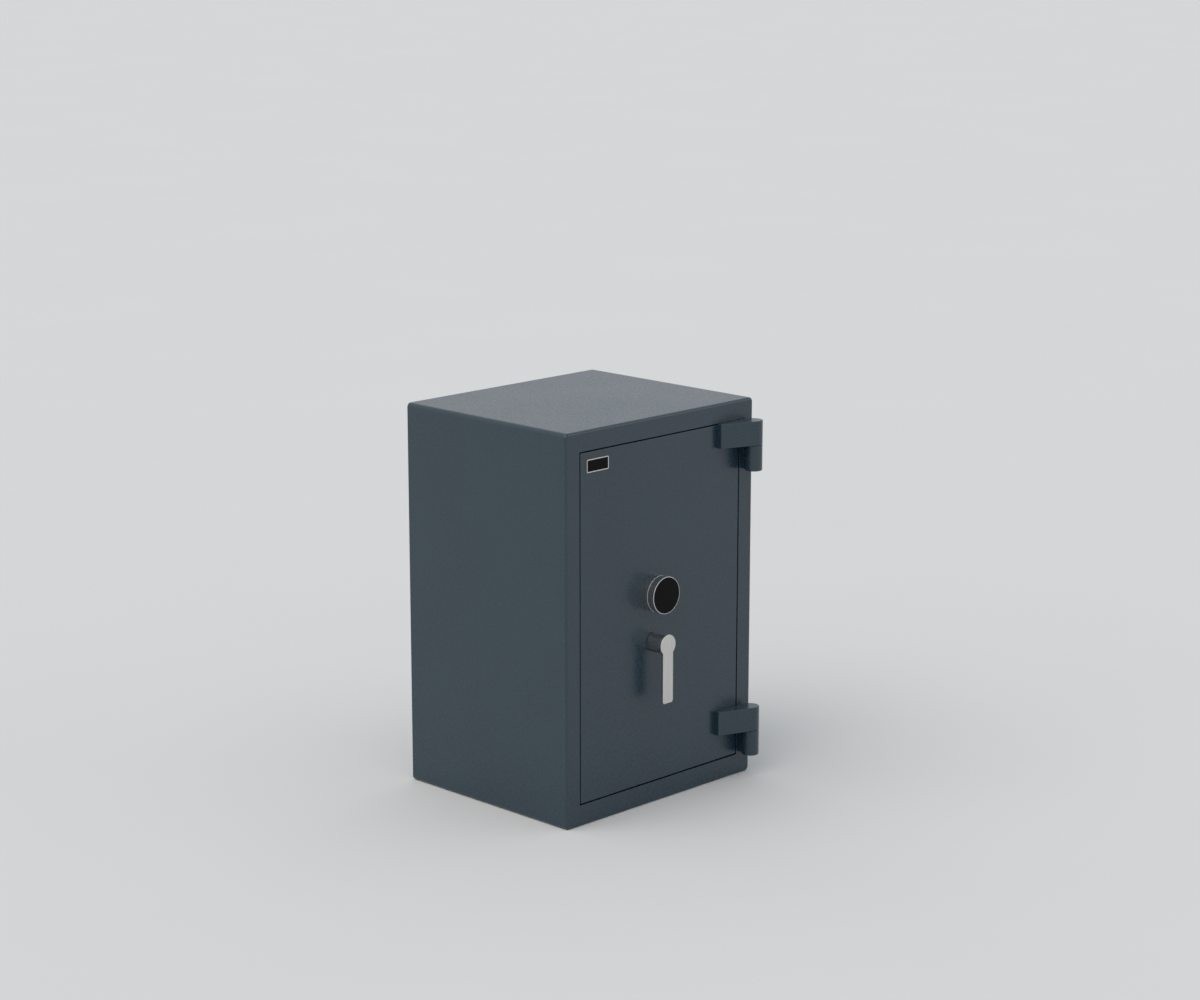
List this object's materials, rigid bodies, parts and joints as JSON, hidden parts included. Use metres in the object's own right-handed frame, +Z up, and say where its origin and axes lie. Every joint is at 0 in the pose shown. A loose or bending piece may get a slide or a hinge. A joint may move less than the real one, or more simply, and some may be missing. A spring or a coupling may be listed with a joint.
{
  "type": "security safe",
  "caption": "Floor-standing steel safe with a flush door on outside hinges, a lock knob, a lever handle that throws bolts on three sides, and shelves.",
  "frame": {"origin": "centre of the casing's resting face under the base, midway between its sides, front and back", "axes": "+X to the hinge side as seen from the front, +Y from the front to the back, +Z up"},
  "size_m": [0.54, 0.4974, 0.8],
  "materials": {
    "powder_coat": "dark graphite blue-grey powder coat, fine texture",
    "concrete": "cast infill, rough",
    "zinc_steel": "zinc plated steel sheet",
    "bright_steel": "turned bright steel",
    "satin_metal": "satin nickel, fine brushed",
    "black_face": "plain black, smooth",
    "brass": "plain brass",
    "cast_zinc": "die cast, matt",
    "seal_rubber": "matt black strip"
  },
  "bodies": {
    "safe_body": {"outer_casing": "powder_coat", "back_panel": "powder_coat", "front_frame": "powder_coat", "upper_hinge_knuckle": "powder_coat", "lower_hinge_knuckle": "powder_coat", "inner_liner": "powder_coat", "upper_shelf": "powder_coat", "lower_shelf": "powder_coat", "body_infill": "concrete", "bolt_pockets": "zinc_steel", "dog_pockets": "zinc_steel", "anchor_sleeves": "zinc_steel", "shelf_strip_left_front": "zinc_steel", "shelf_strip_left_rear": "zinc_steel", "shelf_strip_right_front": "zinc_steel", "shelf_strip_right_rear": "zinc_steel", "upper_shelf_clips": "zinc_steel", "lower_shelf_clips": "zinc_steel", "upper_hinge_pin": "bright_steel", "lower_hinge_pin": "bright_steel", "upper_hinge_washer": "brass", "lower_hinge_washer": "brass", "door_seal": "seal_rubber"},
    "handle": {"handle_neck": "satin_metal", "handle_lever": "satin_metal", "handle_spindle": "bright_steel", "scroll_cam": "zinc_steel", "spindle_nut": "zinc_steel"},
    "side_carriage": {"side_bolt_bar": "zinc_steel", "side_bolts": "bright_steel", "side_bolt_screws": "zinc_steel", "side_follower_pin": "zinc_steel"},
    "top_carriage": {"top_bolt_bar": "zinc_steel", "top_bolt": "bright_steel", "top_follower_pin": "zinc_steel"},
    "bottom_carriage": {"bottom_bolt_bar": "zinc_steel", "bottom_bolt": "bright_steel", "bottom_follower_pin": "zinc_steel"},
    "lock_knob": {"knob_sleeve": "satin_metal", "knob_face": "black_face", "lock_spindle": "bright_steel"},
    "lock_tongue": {"lock_bolt": "brass"},
    "door": {"door_plate": "powder_coat", "door_barrier": "concrete", "mounting_plate": "zinc_steel", "door_box": "powder_coat", "door_cover": "powder_coat", "door_cover_screws": "zinc_steel", "hinge_side_dogs": "bright_steel", "badge_frame": "satin_metal", "badge_plate": "black_face", "guide_posts": "zinc_steel", "handle_bush": "brass", "knob_base": "satin_metal", "lock_case": "cast_zinc", "lock_case_screws": "zinc_steel", "upper_hinge_strap": "powder_coat", "lower_hinge_strap": "powder_coat"}
  },
  "joints": [
    {"name": "door_swing", "type": "hinge", "parent": "safe_body", "child": "door", "pos_m": [0.2462, -0.2519, 0.4], "axis": [0, 0, 1], "range_deg": [0, 180]},
    {"name": "handle_turn", "type": "hinge", "parent": "door", "child": "handle", "pos_m": [-0.0235, -0.2275, 0.34], "axis": [0, 1, 0], "range_deg": [0, 90]},
    {"name": "side_bolts_slide", "type": "slide", "parent": "door", "child": "side_carriage", "axis": [-1, 0, 0], "range_m": [0, 0.028]},
    {"name": "top_bolt_slide", "type": "slide", "parent": "door", "child": "top_carriage", "axis": [0, 0, 1], "range_m": [0, 0.028]},
    {"name": "bottom_bolt_slide", "type": "slide", "parent": "door", "child": "bottom_carriage", "axis": [0, 0, -1], "range_m": [0, 0.028]},
    {"name": "knob_turn", "type": "hinge", "parent": "door", "child": "lock_knob", "pos_m": [-0.0235, -0.2275, 0.442], "axis": [0, 1, 0], "range_deg": [0, 90]},
    {"name": "lock_bolt_slide", "type": "slide", "parent": "door", "child": "lock_tongue", "axis": [0, 0, -1], "range_m": [0, 0.012]}
  ],
  "couplings": [
    {"joint": "side_bolts_slide", "follows": "handle_turn", "m_per_rad": 0.017825},
    {"joint": "top_bolt_slide", "follows": "handle_turn", "m_per_rad": 0.017825},
    {"joint": "bottom_bolt_slide", "follows": "handle_turn", "m_per_rad": 0.017825},
    {"joint": "lock_bolt_slide", "follows": "knob_turn", "m_per_rad": 0.007639}
  ]
}
